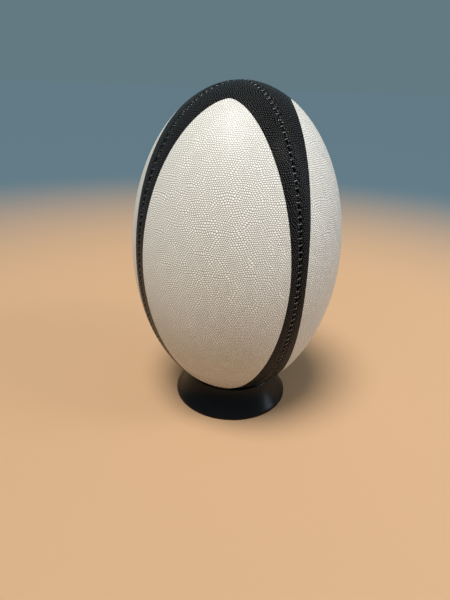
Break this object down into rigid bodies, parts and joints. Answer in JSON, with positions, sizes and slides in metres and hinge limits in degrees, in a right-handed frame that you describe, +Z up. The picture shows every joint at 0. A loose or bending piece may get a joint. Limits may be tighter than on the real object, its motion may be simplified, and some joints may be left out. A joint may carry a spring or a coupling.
{
  "type": "rugby ball",
  "caption": "Oval rugby ball with a sewn two-tone pebbled cover, standing on end in a flared ring stand that it lifts out of.",
  "frame": {"origin": "centre of the stand's foot, on the surface that it stands on, under the ball's lower end", "axes": "+Z up along the ball's long axis, -Y out through the middle of the front panel, +Y out through the valve, +X to the right"},
  "size_m": [0.191, 0.191, 0.3],
  "materials": {
    "cover_rubber": "fine pebbled grip, satin",
    "cover_cloth": "rubberised woven cloth",
    "waxed_thread": "waxed, slightly glossy",
    "bladder_rubber": "smooth satin",
    "valve_rubber": "smooth satin",
    "valve_core_rubber": "smooth satin",
    "stand_plastic": "polished moulded plastic"
  },
  "bodies": {
    "stand": {"display_stand": "stand_plastic"},
    "ball": {"front_panel": "cover_rubber", "front_outer_ply": "cover_cloth", "front_inner_ply": "cover_cloth", "right_panel": "cover_rubber", "right_outer_ply": "cover_cloth", "right_inner_ply": "cover_cloth", "back_panel": "cover_rubber", "back_outer_ply": "cover_cloth", "back_inner_ply": "cover_cloth", "left_panel": "cover_rubber", "left_outer_ply": "cover_cloth", "left_inner_ply": "cover_cloth", "front_right_seam_thread": "waxed_thread", "back_right_seam_thread": "waxed_thread", "back_left_seam_thread": "waxed_thread", "front_left_seam_thread": "waxed_thread", "bladder": "bladder_rubber", "valve_cover_patch": "cover_cloth", "valve_bladder_patch": "bladder_rubber", "valve_body": "valve_rubber", "valve_core": "valve_core_rubber"}
  },
  "joints": [
    {"name": "ball_lift", "type": "slide", "parent": "stand", "child": "ball", "axis": [0, 0, 1], "range_m": [0, 0.1]}
  ]
}
